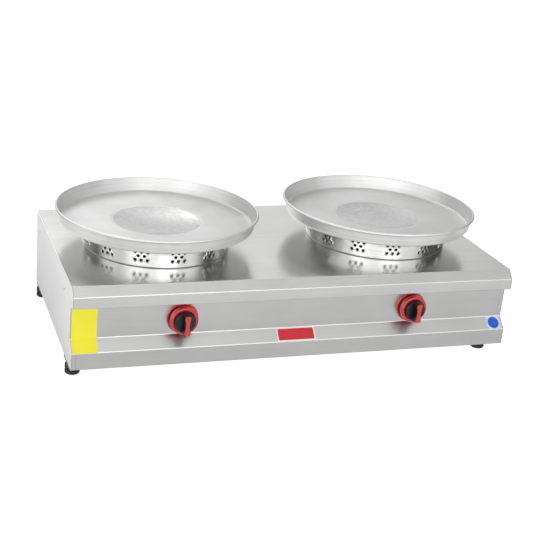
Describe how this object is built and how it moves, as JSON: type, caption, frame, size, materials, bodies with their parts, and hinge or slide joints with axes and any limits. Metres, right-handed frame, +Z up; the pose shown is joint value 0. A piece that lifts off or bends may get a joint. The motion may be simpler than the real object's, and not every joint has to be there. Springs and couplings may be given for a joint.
{
  "type": "countertop gas stove",
  "caption": "Countertop gas stove in folded stainless steel, with wide dished pans standing on perforated rings over its burners and red knobs under a front lip.",
  "frame": {"origin": "middle of the whole object in plan, on the surface that its feet stand on", "axes": "+X to the right seen from the front, +Y to the back, +Z up"},
  "size_m": [1.0035, 0.5432, 0.2945],
  "materials": {
    "stainless": "brushed along the width",
    "ring_steel": "bright rolled strip",
    "spun_aluminium": "spun, satin",
    "galvanised": "dull zinc coat",
    "zinc": "plated",
    "burner_iron": "as cast",
    "burner_cap": "black",
    "brass": "machined",
    "copper": "drawn copper tube",
    "spindle_steel": "ground",
    "knob_red": "glossy red",
    "knob_black": "black",
    "foot_plastic": "black"
  },
  "bodies": {
    "stove_body": {"worktop": "stainless", "side_panel_left": "stainless", "side_panel_right": "stainless", "front_panel": "stainless", "back_panel": "stainless", "base_plate": "galvanised", "cross_rail": "galvanised", "foot_brackets": "galvanised", "foot_nuts": "zinc", "ring_left": "ring_steel", "ring_right": "ring_steel", "burner_body_left": "burner_iron", "burner_body_right": "burner_iron", "burner_cap_left": "burner_cap", "burner_cap_right": "burner_cap", "burner_bolts": "zinc", "tap_body_left": "brass", "tap_body_right": "brass", "bezel_left": "knob_red", "bezel_right": "knob_red", "injector_holder_left": "brass", "injector_holder_right": "brass", "injector_left": "brass", "injector_right": "brass", "injector_pipe_left": "copper", "injector_pipe_right": "copper", "thermocouple_left": "copper", "thermocouple_right": "copper", "manifold": "zinc", "manifold_plug": "zinc", "inlet_fitting": "brass", "inlet_nut": "brass", "side_rivets": "stainless", "ring_screws": "zinc", "base_screws": "zinc"},
    "valve_plug_left": {"valve_plug_left": "brass"},
    "knob_left": {"spindle_left": "spindle_steel", "knob_skirt_left": "knob_red", "knob_cap_left": "knob_black", "knob_pointer_left": "knob_red"},
    "valve_plug_right": {"valve_plug_right": "brass"},
    "knob_right": {"spindle_right": "spindle_steel", "knob_skirt_right": "knob_red", "knob_cap_right": "knob_black", "knob_pointer_right": "knob_red"},
    "foot_front_left": {"foot_front_left": "foot_plastic", "stud_front_left": "zinc"},
    "foot_front_right": {"foot_front_right": "foot_plastic", "stud_front_right": "zinc"},
    "foot_rear_left": {"foot_rear_left": "foot_plastic", "stud_rear_left": "zinc"},
    "foot_rear_right": {"foot_rear_right": "foot_plastic", "stud_rear_right": "zinc"},
    "pan_left": {"pan_left": "spun_aluminium"},
    "pan_right": {"pan_right": "spun_aluminium"}
  },
  "joints": [
    {"name": "knob_left_turn", "type": "hinge", "parent": "stove_body", "child": "valve_plug_left", "pos_m": [-0.264, -0.2266, 0.1278], "axis": [0, -1, 0], "range_deg": [0, 180]},
    {"name": "knob_left_push", "type": "slide", "parent": "valve_plug_left", "child": "knob_left", "axis": [0, 1, 0], "range_m": [0, 0.0035], "stiffness_N_per_m": 800, "springref_m": -0.004},
    {"name": "knob_right_turn", "type": "hinge", "parent": "stove_body", "child": "valve_plug_right", "pos_m": [0.264, -0.2266, 0.1278], "axis": [0, -1, 0], "range_deg": [0, 180]},
    {"name": "knob_right_push", "type": "slide", "parent": "valve_plug_right", "child": "knob_right", "axis": [0, 1, 0], "range_m": [0, 0.0035], "stiffness_N_per_m": 800, "springref_m": -0.004},
    {"name": "foot_front_left_screw", "type": "slide", "parent": "stove_body", "child": "foot_front_left", "axis": [0, 0, -1], "range_m": [0, 0.012]},
    {"name": "foot_front_right_screw", "type": "slide", "parent": "stove_body", "child": "foot_front_right", "axis": [0, 0, -1], "range_m": [0, 0.012]},
    {"name": "foot_rear_left_screw", "type": "slide", "parent": "stove_body", "child": "foot_rear_left", "axis": [0, 0, -1], "range_m": [0, 0.012]},
    {"name": "foot_rear_right_screw", "type": "slide", "parent": "stove_body", "child": "foot_rear_right", "axis": [0, 0, -1], "range_m": [0, 0.012]},
    {"name": "pan_left_lift", "type": "slide", "parent": "stove_body", "child": "pan_left", "axis": [0, 0, 1], "range_m": [0, 0.12]},
    {"name": "pan_right_lift", "type": "slide", "parent": "stove_body", "child": "pan_right", "axis": [0, 0, 1], "range_m": [0, 0.12]}
  ]
}
